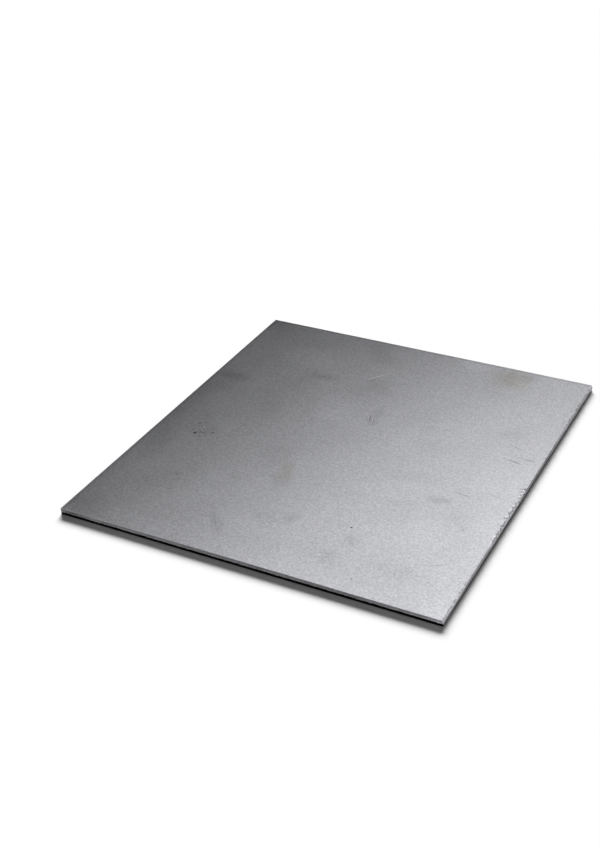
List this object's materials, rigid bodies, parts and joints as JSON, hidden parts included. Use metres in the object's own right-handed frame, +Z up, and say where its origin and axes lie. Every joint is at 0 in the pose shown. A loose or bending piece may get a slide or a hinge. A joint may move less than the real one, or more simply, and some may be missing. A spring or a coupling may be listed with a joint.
{
  "type": "nickel sheet",
  "caption": "Flat rectangular blank of rolled nickel sheet with guillotine-cut edges, raw stock that lies flat for cutting, forming or use as an anode.",
  "frame": {"origin": "centre of the underside, on the surface that the sheet lies on", "axes": "+X along the front edge, +Y from the front edge to the back edge, +Z up out of the upper face"},
  "size_m": [0.3009, 0.34, 0.005],
  "materials": {
    "nickel": "satin mill finish, rolled and annealed"
  },
  "bodies": {
    "root": {"nickel_sheet": "nickel"}
  },
  "joints": []
}
